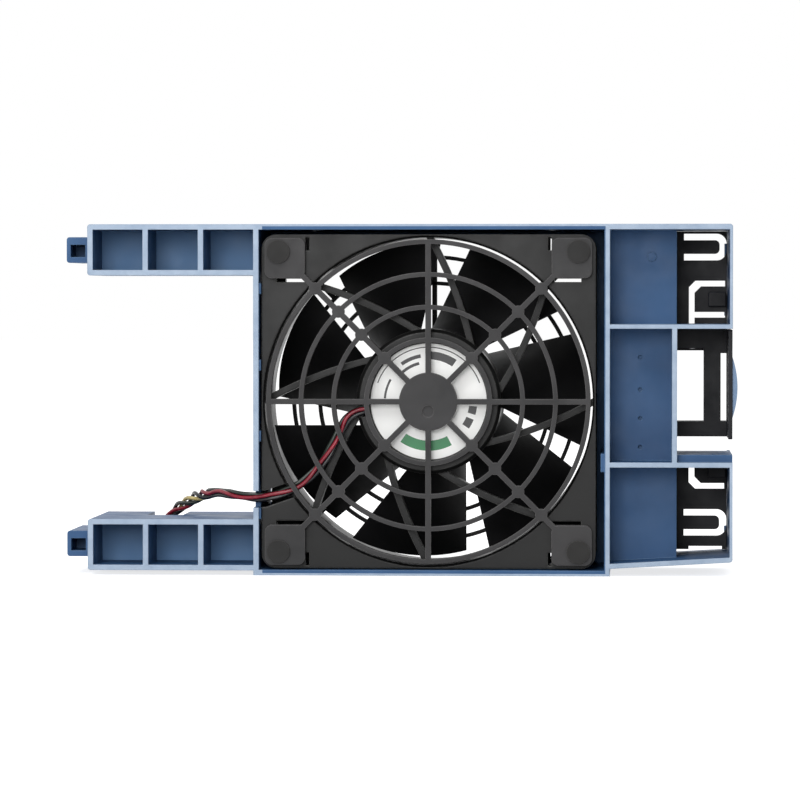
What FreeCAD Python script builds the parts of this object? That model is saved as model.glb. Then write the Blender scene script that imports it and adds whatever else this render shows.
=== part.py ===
# Server fan module: a 92 mm fan in a blue carrier, with guide pegs at the left and a release lever at the right.
# Millimetres. X runs right, Y runs from the guard side to the rear, Z runs up.
# The origin is the middle of the fan bay's bottom face.
import FreeCAD, Part
import math
import os

V = FreeCAD.Vector

# ---- clearances ----
PRESS_GAP = 0.02        # pressed or glued pieces of one body
RUN_GAP = 0.05          # pins and shafts that turn
SEAT_GAP = 0.10         # pieces set down in a pocket

# ---- fan ----
FAN_SIZE = 92.0
FAN_DEPTH = 38.0
FAN_CORNER_R = 4.0
FLANGE_T = 4.0
DUCT_WALL = 0.8
DUCT_LIP = 0.6
BOLT_INSET = 4.75
BOLT_HOLE_R = 2.15
CORNER_TUBE_R = 4.0
PAD_SIZE = 12.6
PAD_SLOT_W = 1.0
PAD_SLOT_LONG = 8.0
PAD_SLOT_SHORT = 3.6

# ---- motor base and struts ----
BASE_R = 20.0
BASE_SETBACK = 1.2
BASE_PLATE_T = 3.0
BASE_DEPTH = 8.8
BASE_WALL = 1.5
BASE_CHAMFER = 1.0
LABEL_R = 16.0
LABEL_T = 0.2
LABEL_RECESS = 0.4
STRUT_COUNT = 8
STRUT_W = 1.8
STRUT_SETBACK = 4.0
STRUT_SWIRL = 40.0
STRUT_MID_SWIRL = 16.0
STRUT_MID_SHARE = 0.36

# ---- rotor ----
ROTOR_GAP = 0.6
ROTOR_REAR_SETBACK = 1.5
HUB_WALL = 1.5
HUB_END_T = 2.0
HUB_CHAMFER = 1.5
HUB_BOSS_R = 5.0
HUB_BOSS_L = 4.0
BLADE_COUNT = 7
BLADE_GAP_ANGLE = 6.5
BLADE_T = 1.6
BLADE_EDGE_T = 0.7
BLADE_CAMBER = 2.4
BLADE_SWEEP = 0.45          # sideways shift for each millimetre beyond the hub
BLADE_MARGIN = 1.0
BLADE_TIP_GAP = 1.3
BLADE_ROOT_SHARE = 0.8
BLADE_TIP_SHARE = 1.02
FIRST_GAP_ANGLE = -10.5
YOKE_T = 1.0
MAGNET_T = 1.8
MAGNET_SHORT = 7.0
INSERT_R = 3.0
SHAFT_R = 1.5
SHAFT_FRONT_GAP = 0.8
SHAFT_GROOVE_DEPTH = 0.4
CLIP_R = 2.7
CLIP_T = 0.5
CLIP_GAP = 0.2
SPRING_WASHER_R = 2.6
SPRING_WASHER_T = 0.25
SPRING_WASHER_RISE = 0.4

# ---- stator ----
BEARING_R = 4.0
BEARING_W = 4.0
BEARING_TUBE_WALL = 1.0
BEARING_TUBE_L = 24.5
BEARING_SHOULDER = 0.6
FRONT_BEARING_INSET = 2.2
TUBE_BOSS_WALL = 1.5
TUBE_BOSS_L = 2.4
AIR_GAP = 0.5
CORE_L = 9.0
CORE_OFFSET = 9.3
CORE_HUB_SHARE = 0.295      # of the core's depth round the bearing tube
TOOTH_COUNT = 6
TOOTH_W = 3.0
SHOE_SHARE = 0.177
SHOE_GAP_ANGLE = 12.0
INSULATOR_T = 0.8
COIL_BUILD = 1.5
COIL_INSET = 0.4
BOARD_T = 1.2
BOARD_LIFT = 2.0
BOARD_CLEAR = 1.0
POST_R = 1.2
POST_PITCH_R = 13.0
POST_COUNT = 3
CHIP_H = 1.3
CHIP_W = 4.0
CHIP_L = 5.0

# ---- finger guard ----
GUARD_T = 2.4
GUARD_DISC_R = 8.0
GUARD_RING_COUNT = 4
GUARD_RING_W = 1.3
GUARD_RING_INSET = 1.2
GUARD_SPOKE_W = 1.5
GUARD_NODE_R = 1.7
GUARD_PAD_MARGIN = 1.0
GUARD_PAD_R = 2.0
DIMPLE_R = 1.6
DIMPLE_DEPTH = 0.6
RIVET_HEAD_R = 3.2
RIVET_HEAD_T = 0.8
RIVET_TIP = 1.6

# ---- carrier: fan bay ----
BAY_WALL = 1.5
FAN_GAP_LEFT = 0.6
FAN_GAP_RIGHT = 2.4
FAN_GAP_BOTTOM = 0.3
FAN_GAP_TOP = 1.3
GUARD_RECESS = 1.0
LEDGE_T = 1.5
LEDGE_LEG = 17.0
LEDGE_LIP = 0.7
REAR_RECESS = 1.0
CARRIER_EDGE_R = 0.8
LUG_H = 3.0
LUG_SHARES = (0.16, 0.381, 0.583, 0.801)
RIGHT_LUG_H = 5.0
RIGHT_LUG_SHARE = 0.316
RIGHT_LUG_T = 1.0

# ---- carrier: left arms and guide pegs ----
ARM_L = 45.8
ARM_H = 14.1
ARM_WALL = 1.5
ARM_POCKETS = 3
POCKET_DEPTH = 22.0
LOWER_ARM_LIFT = 1.3
PEG_L = 6.3
PEG_H = 7.1
PEG_WALL = 1.1
PEG_TOP_WALL = 2.1
PEG_BOTTOM_WALL = 1.6
PEG_DEPTH = 30.0
PEG_SETBACK = 5.0
PEG_POCKET_DEPTH = 12.0

# ---- carrier: right block ----
BLOCK_L = 33.6
BLOCK_WALL = 1.4
SIDE_WALL = 0.8
TOP_CELL_SHARE = 0.278     # of the bay's height
MID_CELL_SHARE = 0.37
MID_WALL_T = 1.2
BAND_WALL_T = 3.4
BAND_SKIN_T = 1.4
BAND_STEP_DEPTH = 3.0
DIVIDER_X = 17.0
DIVIDER_T = 1.4
FLOOR_DEPTH = 15.0
FLOOR_T = 1.5
FOOT_LIFT_INNER = 2.0
FOOT_LIFT_OUTER = 3.9
NUB_R = 1.2
NUB_H = 0.8
NUB_X = 11.5
NUB_DROP = 8.9
PINHOLE_R = 0.6
PINHOLE_DEPTH = 1.0
PINHOLE_X = 8.3
PINHOLE_SHARES = (0.23, 0.49, 0.72, 0.95)

# ---- retainer plates ----
PLATE_T = 2.0
PLATE_SETBACK = 38.0
PLATE_TAIL_MARGIN = 1.5
TOP_HOOK_SHARES = (0.25, 0.8)
BOTTOM_HOOK_SHARES = (0.3, 0.85)
HOOK_PROUD = 0.8
HOOK_T = 1.2
HOOK_L = 6.0
SLOT_SHARE = 0.0563         # of the bottom cell's height, as the shares below
TONGUE_SHARE = 0.135
TONGUE_SLOT_SHARE = 0.065
TONGUE_L = 10.0
TONGUE_SIDE_SLOT = 2.0
TONGUE_DROP_SHARE = 0.155
TONGUE_INSET = 2.1
TONGUE_SLOT_R = 2.8
TONGUE_TIP_R = 1.3
LOWER_TONGUE_RATIO = 1.72    # of its slot's distance from the plate's end to the upper one's
TAB_SHARE = 0.254
TAB_DROP_SHARE = 0.546
TAB_INSET = 3.5
TAB_CORNER = 1.8
TAB_BARB_SHARE = 0.14
TAB_BARB_T = 2.0
TAB_BARB_L = 4.8
PLATE_STUB_SHARE = 0.063
FOOT_NOTCH_H = 0.9
FOOT_NOTCH_L = 9.4

# ---- release lever ----
LEVER_GAP = 0.35
LEVER_DEPTH = 8.6
CATCH_GAP = 4.25
LEVER_HEAD_H = 5.3
LEVER_HEAD_STEP = 1.4
LEVER_FOOT_H = 4.3
LEVER_BAR_X = 7.6
LEVER_BAR_W = 4.7
LEVER_CORNER_R = 1.3
STRIP_T = 1.1
STRIP_FRONT = 4.0
PAD_H = 16.8
PAD_L = 28.0
PAD_PROUD = 1.4
PAD_DROP = 7.4
PAD_FRONT = 4.5
LATCH_PIN_R = 1.25
LATCH_PIN_X = 4.4
LATCH_PIN_DROP = 3.3
LATCH_PIN_FRONT_WALL = 1.6
LATCH_SPRING_WIRE_R = 0.25
LATCH_SPRING_R = 2.0
LATCH_SPRING_TURNS = 3.0
LATCH_SPRING_L = 2.4
LATCH_SPRING_WELL_R = 2.7

# ---- fan lead and its connector ----
LEAD_R = 1.4
LEAD_FRONT_GAP = 0.4
LEAD_NOTCH_W = 4.6
LEAD_START_R = 16.6
LEAD_ANGLE = 186.6
LEAD_EXIT_Z = 20.9
LEAD_BEND_INSET = 0.9
# the lead's corners over the fan, as shares of the way left and down from the motor base to the bend at the bay wall
LEAD_INSIDE = ((0.068, 0.108), (0.203, 0.342), (0.371, 0.654), (0.649, 0.888))
# its corners beyond the bay wall, as shares of the way left, back and down to the connector
LEAD_OUTSIDE = (
    (0.145, 0.072, -0.072),
    (0.311, 0.308, -0.112),
    (0.451, 0.538, -0.008),
    (0.601, 0.785, 0.199),
    (0.736, 0.930, 0.582),
    (0.848, 0.994, 0.928),
)
PLUG_W = 9.8
PLUG_T = 4.6
PLUG_L = 8.0
PLUG_PITCH = 2.0
PLUG_WAYS = 4
PLUG_REAR_SETBACK = 5.7
PLUG_RECESS = 0.2
CAVITY_W = 1.4
CAVITY_DEPTH = 6.0
CONTACT_W = 1.0
CONTACT_T = 0.6
SOCKET_WALL = 1.2
SOCKET_L = 5.5
LEAD_DOOR_W = 10.0
LEAD_DOOR_LEFT = 14.0
LEAD_END_GAP = 0.35

# ---- worked out from the sizes above ----
DUCT_R = FAN_SIZE / 2 - DUCT_WALL
BOLT_PITCH = FAN_SIZE - 2 * BOLT_INSET
HUB_R = BASE_R
MODULE_DEPTH = GUARD_RECESS + GUARD_T + FAN_DEPTH + SEAT_GAP + LEDGE_T + REAR_RECESS
Y_FRONT = -MODULE_DEPTH / 2
Y_REAR = MODULE_DEPTH / 2
BAY_W = FAN_SIZE + FAN_GAP_LEFT + FAN_GAP_RIGHT
BAY_H = FAN_SIZE + FAN_GAP_BOTTOM + FAN_GAP_TOP
BAY_LEFT = -BAY_W / 2
BAY_RIGHT = BAY_W / 2
BOX_LEFT = BAY_LEFT - BAY_WALL
BOX_RIGHT = BAY_RIGHT + BAY_WALL
BOX_TOP = BAY_H + 2 * BAY_WALL
FAN_X = BAY_LEFT + FAN_GAP_LEFT + FAN_SIZE / 2
FAN_Z = BAY_WALL + FAN_GAP_BOTTOM + FAN_SIZE / 2
FAN_FRONT = Y_FRONT + GUARD_RECESS + GUARD_T
FAN_REAR = FAN_FRONT + FAN_DEPTH

BASE_FRONT = FAN_FRONT + BASE_SETBACK
BASE_PLATE_REAR = BASE_FRONT + BASE_PLATE_T
BASE_REAR = BASE_FRONT + BASE_DEPTH
HUB_FRONT = BASE_REAR + ROTOR_GAP
HUB_REAR = FAN_REAR - ROTOR_REAR_SETBACK
HUB_END = HUB_REAR - HUB_END_T
TUBE_R = BEARING_R + BEARING_TUBE_WALL
TUBE_FRONT = BASE_PLATE_REAR
TUBE_REAR = TUBE_FRONT + BEARING_TUBE_L
YOKE_R = HUB_R - HUB_WALL - PRESS_GAP
MAGNET_R = YOKE_R - YOKE_T - PRESS_GAP
CORE_R = MAGNET_R - MAGNET_T - AIR_GAP
CORE_HUB_T = CORE_HUB_SHARE * (CORE_R - TUBE_R)
SHOE_T = SHOE_SHARE * (CORE_R - TUBE_R)
CORE_FRONT = TUBE_FRONT + CORE_OFFSET
BOARD_FRONT = BASE_PLATE_REAR + BOARD_LIFT
BOARD_REAR = BOARD_FRONT + BOARD_T
GUARD_RING_PITCH = (DUCT_R - GUARD_RING_INSET - GUARD_DISC_R) / GUARD_RING_COUNT

ARM_LEFT = BOX_LEFT - ARM_L
UPPER_ARM_Z = BOX_TOP - ARM_H
ARM_FLOOR_FRONT = Y_FRONT + POCKET_DEPTH
ARM_FLOOR_REAR = ARM_FLOOR_FRONT + ARM_WALL

BLOCK_RIGHT = BOX_RIGHT + BLOCK_L
CELL_TOP = BOX_TOP - BAY_WALL
TOP_CELL_H = TOP_CELL_SHARE * BAY_H
MID_CELL_H = MID_CELL_SHARE * BAY_H
MID_WALL_Z = CELL_TOP - TOP_CELL_H
MID_CELL_TOP = MID_WALL_Z - MID_WALL_T
MID_CELL_BOTTOM = MID_CELL_TOP - MID_CELL_H
BOTTOM_CELL_TOP = MID_CELL_BOTTOM - BAND_WALL_T
BOTTOM_CELL_H = BOTTOM_CELL_TOP - BAY_WALL
SLOT_W = SLOT_SHARE * BOTTOM_CELL_H
TONGUE_H = TONGUE_SHARE * BOTTOM_CELL_H
TONGUE_SLOT_W = TONGUE_SLOT_SHARE * BOTTOM_CELL_H
TONGUE_DROP = TONGUE_DROP_SHARE * BOTTOM_CELL_H
TAB_H = TAB_SHARE * BOTTOM_CELL_H
TAB_DROP = TAB_DROP_SHARE * BOTTOM_CELL_H
TAB_BARB_H = TAB_BARB_SHARE * BOTTOM_CELL_H
PLATE_STUB_L = PLATE_STUB_SHARE * BOTTOM_CELL_H
DIVIDER_LEFT = BOX_RIGHT + DIVIDER_X
DIVIDER_RIGHT = DIVIDER_LEFT + DIVIDER_T
SIDE_INNER = BLOCK_RIGHT - SIDE_WALL
FLOOR_FRONT = Y_FRONT + FLOOR_DEPTH
FLOOR_REAR = FLOOR_FRONT + FLOOR_T
PLATE_FRONT = Y_FRONT + PLATE_SETBACK
PLATE_REAR = PLATE_FRONT + PLATE_T
PLATE_LEFT = DIVIDER_RIGHT + SEAT_GAP
PLATE_RIGHT = SIDE_INNER - SEAT_GAP

LEVER_REAR = PLATE_FRONT - LEVER_GAP
LEVER_FRONT = LEVER_REAR - LEVER_DEPTH
LEVER_TOP = MID_CELL_TOP - LEVER_GAP
LEVER_BOTTOM = MID_CELL_BOTTOM + CATCH_GAP
LEVER_LEFT = DIVIDER_RIGHT + SEAT_GAP
STRIP_INNER = BLOCK_RIGHT - STRIP_T
LATCH_PIN_POINT_X = LEVER_LEFT + LATCH_PIN_X
LATCH_PIN_POINT_Z = LEVER_TOP - LATCH_PIN_DROP
PLATE_TAIL = LEVER_GAP + LATCH_PIN_DROP + LATCH_PIN_R + PLATE_TAIL_MARGIN

LEAD_Y = FAN_FRONT + LEAD_FRONT_GAP + LEAD_R
PLUG_LEFT = ARM_LEFT + PLUG_RECESS
PLUG_RIGHT = PLUG_LEFT + PLUG_L
PLUG_Y = Y_REAR - PLUG_REAR_SETBACK
PLUG_Z = LOWER_ARM_LIFT + ARM_H / 2


# ---- helpers ----
def block(x0, x1, y0, y1, z0, z1):
    return Part.makeBox(x1 - x0, y1 - y0, z1 - z0, V(x0, y0, z0))


def rod(radius, y0, y1, x=FAN_X, z=FAN_Z):
    return Part.makeCylinder(radius, y1 - y0, V(x, y0, z), V(0, 1, 0))


def tube(outer, inner, y0, y1, x=FAN_X, z=FAN_Z):
    return rod(outer, y0, y1, x, z).cut(rod(inner, y0, y1, x, z))


def prism(outline, y0, y1):
    """Extrudes an outline of (x, z) points along Y."""
    corners = [V(x, y0, z) for x, z in outline]
    return Part.Face(Part.makePolygon(corners + corners[:1])).extrude(V(0, y1 - y0, 0))


def turned(profile):
    """Turns a closed profile of (radius, y) points about the fan's axis."""
    corners = [V(FAN_X + radius, y, FAN_Z) for radius, y in profile]
    face = Part.Face(Part.makePolygon(corners + corners[:1]))
    return face.revolve(V(FAN_X, 0, FAN_Z), V(0, 1, 0), 360)


def swung(shape, degrees):
    """A copy turned about the fan's axis, counter-clockwise as seen from the guard side."""
    copy = shape.copy()
    copy.rotate(V(FAN_X, 0, FAN_Z), V(0, -1, 0), degrees)
    return copy


def polar(radius, degrees):
    angle = math.radians(degrees)
    return FAN_X + radius * math.cos(angle), FAN_Z + radius * math.sin(angle)


def fused(shapes):
    return shapes[0].multiFuse(shapes[1:]).removeSplitter()


def edges_along_y(shape, keep):
    """The straight edges along Y whose middle passes keep(x, z)."""
    found = []
    for edge in shape.Edges:
        if len(edge.Vertexes) != 2:
            continue
        first, last = (vertex.Point for vertex in edge.Vertexes)
        straight = abs(first.x - last.x) < 1e-6 and abs(first.z - last.z) < 1e-6
        if straight and keep(first.x, first.z):
            found.append(edge)
    return found


def rounded_plate(size, radius, y0, y1):
    plate = block(FAN_X - size / 2, FAN_X + size / 2, y0, y1, FAN_Z - size / 2, FAN_Z + size / 2)
    return plate.makeFillet(radius, edges_along_y(plate, lambda x, z: True))


def bolt_points():
    half = BOLT_PITCH / 2
    return [(FAN_X + sx * half, FAN_Z + sz * half) for sx in (-1, 1) for sz in (-1, 1)]


def at_corners(shape):
    """Four copies of a shape made for the fan's upper right corner, mirrored into each corner."""
    right = [shape, shape.mirror(V(FAN_X, 0, FAN_Z), V(0, 0, 1))]
    return right + [one.mirror(V(FAN_X, 0, FAN_Z), V(1, 0, 0)) for one in right]


# ---- fan housing ----
def strut():
    """One bent strut from the duct to the motor base, on the right of the hub."""
    middle_r = BASE_R + STRUT_MID_SHARE * (DUCT_R - BASE_R)
    stations = ((DUCT_R + DUCT_WALL / 2, 0.0), (middle_r, -STRUT_MID_SWIRL), (BASE_R - BASE_WALL, -STRUT_SWIRL))
    points = [V(polar(r, a)[0], 0, polar(r, a)[1]) for r, a in stations]
    curve = Part.Arc(*points).toShape().Curve
    centre = curve.Center
    angles = [math.atan2(p.z - centre.z, p.x - centre.x) for p in (points[0], points[-1])]
    sweep = (angles[1] - angles[0] + math.pi) % (2 * math.pi) - math.pi
    front, rear = FAN_FRONT + STRUT_SETBACK, BASE_REAR

    def bow(radius):
        points = []
        for share in (0.0, 0.5, 1.0):
            angle = angles[0] + sweep * share
            points.append(V(centre.x + radius * math.cos(angle), front, centre.z + radius * math.sin(angle)))
        return points

    outer = bow(curve.Radius + STRUT_W / 2)
    inner = bow(curve.Radius - STRUT_W / 2)
    outline = Part.Wire([
        Part.Arc(*outer).toShape(),
        Part.LineSegment(outer[2], inner[2]).toShape(),
        Part.Arc(*reversed(inner)).toShape(),
        Part.LineSegment(inner[0], outer[0]).toShape(),
    ])
    return Part.Face(outline).extrude(V(0, rear - front, 0))


def motor_base():
    """The cup at the centre of the struts, with a recess for the label and a boss for the bearing tube."""
    boss_r = TUBE_R + TUBE_BOSS_WALL
    boss_bore = TUBE_R + PRESS_GAP
    boss_rear = BASE_PLATE_REAR + TUBE_BOSS_L
    return turned([
        (0, BASE_FRONT + LABEL_RECESS),
        (LABEL_R + SEAT_GAP, BASE_FRONT + LABEL_RECESS),
        (LABEL_R + SEAT_GAP, BASE_FRONT),
        (BASE_R - BASE_CHAMFER, BASE_FRONT),
        (BASE_R, BASE_FRONT + BASE_CHAMFER),
        (BASE_R, BASE_REAR),
        (BASE_R - BASE_WALL, BASE_REAR),
        (BASE_R - BASE_WALL, BASE_PLATE_REAR),
        (boss_r, BASE_PLATE_REAR),
        (boss_r, boss_rear),
        (boss_bore, boss_rear),
        (boss_bore, BASE_PLATE_REAR),
        (0, BASE_PLATE_REAR),
    ])


def pad_slots(y0, y1):
    """The two slots that part each corner pad from the flange."""
    line = FAN_SIZE / 2 - PAD_SIZE
    edge = FAN_SIZE / 2 - CORNER_TUBE_R
    low, high = line - PAD_SLOT_W / 2, line + PAD_SLOT_W / 2
    flat = block(FAN_X + edge - PAD_SLOT_LONG, FAN_X + edge, y0, y1, FAN_Z + low, FAN_Z + high)
    upright_end = FAN_SIZE / 2 - DUCT_WALL
    upright = block(FAN_X + low, FAN_X + high, y0, y1, FAN_Z + upright_end - PAD_SLOT_SHORT, FAN_Z + upright_end)
    return at_corners(flat) + at_corners(upright)


def lead_channel(x0, x1, z0, z1, y0, y1):
    """A channel of the lead's width whose middle runs from (x0, z0) to (x1, z1)."""
    half = LEAD_NOTCH_W / 2
    return prism([(x0, z0 - half), (x1, z1 - half), (x1, z1 + half), (x0, z0 + half)], y0, y1)


def fan_housing():
    flanges = [
        rounded_plate(FAN_SIZE, FAN_CORNER_R, FAN_FRONT, FAN_FRONT + FLANGE_T),
        rounded_plate(FAN_SIZE, FAN_CORNER_R, FAN_REAR - FLANGE_T, FAN_REAR),
    ]
    duct = rod(DUCT_R + DUCT_WALL, FAN_FRONT, FAN_REAR)
    tubes = [rod(CORNER_TUBE_R, FAN_FRONT, FAN_REAR, x, z) for x, z in bolt_points()]
    shell = fused(flanges + [duct] + tubes)
    bore = rod(DUCT_R, FAN_FRONT, FAN_REAR)
    front_lip = Part.makeCone(DUCT_R + DUCT_LIP, DUCT_R, DUCT_LIP, V(FAN_X, FAN_FRONT, FAN_Z), V(0, 1, 0))
    rear_lip = Part.makeCone(DUCT_R + DUCT_LIP, DUCT_R, DUCT_LIP, V(FAN_X, FAN_REAR, FAN_Z), V(0, -1, 0))
    holes = [rod(BOLT_HOLE_R, FAN_FRONT, FAN_REAR, x, z) for x, z in bolt_points()]
    shell = shell.cut(fused([bore, front_lip, rear_lip])).cut(holes + pad_slots(FAN_FRONT, FAN_REAR))
    vane = strut().cut(rod(BASE_R - BASE_WALL / 2, FAN_FRONT, BASE_REAR))
    vanes = [swung(vane, step * 360.0 / STRUT_COUNT) for step in range(STRUT_COUNT)]
    posts = []
    for step in range(POST_COUNT):
        x, z = polar(POST_PITCH_R, 90 + step * 360.0 / POST_COUNT)
        posts.append(rod(POST_R, BASE_PLATE_REAR - BASE_PLATE_T / 2, BOARD_FRONT, x, z))
    body = fused([shell, motor_base()] + vanes + posts)
    fan_left = FAN_X - FAN_SIZE / 2
    route = lead_route()
    start, crossing, bend = route[0], route[len(LEAD_INSIDE)], route[len(LEAD_INSIDE) + 1]
    flange_rear = FAN_FRONT + FLANGE_T
    notches = [
        lead_channel(bend.x, fan_left, bend.z, LEAD_EXIT_Z, FAN_FRONT, flange_rear),
        lead_channel(crossing.x, bend.x, crossing.z, bend.z, FAN_FRONT, flange_rear),
        lead_channel(start.x + LEAD_END_GAP, FAN_X - BASE_R, start.z, start.z, BASE_FRONT, BASE_PLATE_REAR),
    ]
    return body.cut(notches)


# ---- finger guard ----
def guard_ring_radii():
    outer = DUCT_R - GUARD_RING_INSET
    return [outer - step * GUARD_RING_PITCH for step in range(GUARD_RING_COUNT)]


def guard_pad_span():
    outer = FAN_SIZE / 2 - GUARD_PAD_MARGIN
    return FAN_SIZE / 2 - PAD_SIZE + PAD_SLOT_W / 2, outer


def finger_guard():
    front, rear = FAN_FRONT - GUARD_T, FAN_FRONT
    half = GUARD_RING_W / 2
    rings = [tube(r + half, r - half, front, rear) for r in guard_ring_radii()]
    disc = rod(GUARD_DISC_R, front, rear)
    inner, outer = guard_pad_span()
    middle = (inner + outer) / 2
    pad = block(FAN_X + inner, FAN_X + outer, front, rear, FAN_Z + inner, FAN_Z + outer)
    pad = pad.makeFillet(GUARD_PAD_R, edges_along_y(pad, lambda x, z: True))
    pads = at_corners(pad)
    spoke_half = GUARD_SPOKE_W / 2
    straight = block(FAN_X, FAN_X + guard_ring_radii()[0], front, rear, FAN_Z - spoke_half, FAN_Z + spoke_half)
    reach = math.hypot(middle, middle)
    slanted = block(FAN_X, FAN_X + reach, front, rear, FAN_Z - spoke_half, FAN_Z + spoke_half)
    spokes = [swung(straight, step * 90) for step in range(4)]
    spokes += [swung(slanted, 45 + step * 90) for step in range(4)]
    nodes = []
    for radius in guard_ring_radii():
        for step in range(4):
            x, z = polar(radius, 45 + step * 90)
            nodes.append(rod(GUARD_NODE_R, front, rear, x, z))
    guard = fused([disc] + rings + pads + spokes + nodes)
    holes = [rod(BOLT_HOLE_R, front, rear, x, z) for x, z in bolt_points()]
    dimple = rod(DIMPLE_R, front, front + DIMPLE_DEPTH, FAN_X, FAN_Z - GUARD_DISC_R / 3)
    return guard.cut(holes + [dimple])


def rivet(x, z, head_y, direction, grip):
    """A push rivet: a flat head at head_y and a shank that runs through its grip, with a tapered tip."""
    axis = V(0, direction, 0)
    shank_r = BOLT_HOLE_R - RUN_GAP
    head = Part.makeCylinder(RIVET_HEAD_R, RIVET_HEAD_T, V(x, head_y - direction * RIVET_HEAD_T, z), axis)
    shank = Part.makeCylinder(shank_r, grip, V(x, head_y, z), axis)
    tip = Part.makeCone(shank_r, shank_r / 2, RIVET_TIP, V(x, head_y + direction * grip, z), axis)
    return fused([head, shank, tip])


def guard_rivets():
    return Part.makeCompound([rivet(x, z, FAN_FRONT - GUARD_T, 1, GUARD_T + FLANGE_T) for x, z in bolt_points()])


def rear_isolators():
    head_y = Y_REAR - REAR_RECESS
    return Part.makeCompound([rivet(x, z, head_y, -1, LEDGE_T + FLANGE_T) for x, z in bolt_points()])


# ---- rotor ----
def blade():
    """One blade, lofted through flat sections across its radius and trimmed to the hub and the tip circle."""
    half_angle = math.radians((360.0 / BLADE_COUNT - BLADE_GAP_ANGLE) / 2)
    front, rear = HUB_FRONT + BLADE_MARGIN, HUB_REAR - BLADE_MARGIN
    tip_r = DUCT_R - BLADE_TIP_GAP
    middle_y = (front + rear) / 2
    sections = []
    for distance in (HUB_R * BLADE_ROOT_SHARE, (HUB_R + tip_r) / 2, tip_r * BLADE_TIP_SHARE):
        reach = distance * math.tan(half_angle)
        x = FAN_X + distance
        middle_z = FAN_Z - BLADE_SWEEP * (distance - HUB_R)

        def at(across, y):
            return V(x, y, middle_z + across)

        edge, bulge = BLADE_EDGE_T, BLADE_CAMBER
        face = [at(-reach, front), at(bulge, middle_y - bulge), at(reach, rear - edge)]
        back = [at(reach, rear), at(bulge, middle_y - bulge + BLADE_T), at(-reach, front + edge)]
        sections.append(Part.Wire([
            Part.Arc(*face).toShape(),
            Part.LineSegment(face[2], back[0]).toShape(),
            Part.Arc(*back).toShape(),
            Part.LineSegment(back[2], face[0]).toShape(),
        ]))
    lofted = Part.makeLoft(sections, True, False)
    return lofted.common(tube(tip_r, HUB_R - HUB_WALL / 2, HUB_FRONT, HUB_REAR))


def impeller():
    wall_inner = HUB_R - HUB_WALL
    boss_front = HUB_END - HUB_BOSS_L
    insert_bore = INSERT_R + PRESS_GAP
    hub = turned([
        (HUB_R, HUB_FRONT),
        (HUB_R, HUB_REAR - HUB_CHAMFER),
        (HUB_R - HUB_CHAMFER, HUB_REAR),
        (insert_bore, HUB_REAR),
        (insert_bore, boss_front),
        (HUB_BOSS_R, boss_front),
        (HUB_BOSS_R, HUB_END),
        (wall_inner, HUB_END),
        (wall_inner, HUB_FRONT),
    ])
    first = FIRST_GAP_ANGLE + 180.0 / BLADE_COUNT
    blades = [swung(blade(), first + step * 360.0 / BLADE_COUNT) for step in range(BLADE_COUNT)]
    return fused([hub] + blades)


def rotor_yoke():
    rear = HUB_END - PRESS_GAP
    bore = HUB_BOSS_R + PRESS_GAP
    front = HUB_FRONT + YOKE_T
    return turned([
        (YOKE_R, front),
        (YOKE_R, rear),
        (bore, rear),
        (bore, rear - YOKE_T),
        (YOKE_R - YOKE_T, rear - YOKE_T),
        (YOKE_R - YOKE_T, front),
    ])


def rotor_magnet():
    front = HUB_FRONT + YOKE_T
    return tube(MAGNET_R, MAGNET_R - MAGNET_T, front, HUB_END - YOKE_T - MAGNET_SHORT)


def insert_front():
    return TUBE_REAR + SPRING_WASHER_T + SPRING_WASHER_RISE + 3 * PRESS_GAP


def shaft_insert():
    return tube(INSERT_R, SHAFT_R + PRESS_GAP, insert_front(), HUB_REAR)


def clip_rear():
    return TUBE_FRONT + FRONT_BEARING_INSET - CLIP_GAP


def rotor_shaft():
    shaft = rod(SHAFT_R, TUBE_FRONT + SHAFT_FRONT_GAP, HUB_REAR - HUB_END_T / 4)
    groove_front = clip_rear() - CLIP_T - PRESS_GAP
    groove = tube(SHAFT_R + 1, SHAFT_R - SHAFT_GROOVE_DEPTH, groove_front, clip_rear() + PRESS_GAP)
    return shaft.cut(groove)


def retaining_clip():
    """The C-clip that sits in the shaft's groove in front of the front bearing."""
    bore = SHAFT_R - SHAFT_GROOVE_DEPTH + PRESS_GAP
    ring = tube(CLIP_R, bore, clip_rear() - CLIP_T, clip_rear())
    mouth = block(FAN_X - bore, FAN_X + bore, clip_rear() - CLIP_T, clip_rear(), FAN_Z, FAN_Z + CLIP_R)
    return ring.cut(mouth)


def preload_spring():
    """The coned spring washer between the rear bearing and the rotor."""
    front = TUBE_REAR + PRESS_GAP
    bore = SHAFT_R + RUN_GAP
    return turned([
        (bore, front + SPRING_WASHER_RISE),
        (SPRING_WASHER_R, front),
        (SPRING_WASHER_R, front + SPRING_WASHER_T),
        (bore, front + SPRING_WASHER_RISE + SPRING_WASHER_T),
    ])


# ---- bearings and stator ----
def bearing_tube():
    seat = BEARING_R + PRESS_GAP
    waist = BEARING_R - BEARING_SHOULDER
    front_seat = TUBE_FRONT + FRONT_BEARING_INSET + BEARING_W + PRESS_GAP
    rear_seat = TUBE_REAR - BEARING_W - PRESS_GAP
    return turned([
        (TUBE_R, TUBE_FRONT),
        (TUBE_R, TUBE_REAR),
        (seat, TUBE_REAR),
        (seat, rear_seat),
        (waist, rear_seat),
        (waist, front_seat),
        (seat, front_seat),
        (seat, TUBE_FRONT),
    ])


def bearing(y0):
    """A small ball bearing with its shields, as one unit."""
    shield_r = (BEARING_R + SHAFT_R) / 2
    body = tube(BEARING_R, SHAFT_R + RUN_GAP, y0, y0 + BEARING_W)
    groove_w = BEARING_SHOULDER / 4
    groove = BEARING_SHOULDER / 3
    for face_y in (y0, y0 + BEARING_W - groove_w):
        body = body.cut(tube(shield_r + groove, shield_r - groove, face_y, face_y + groove_w))
    return body


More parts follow.
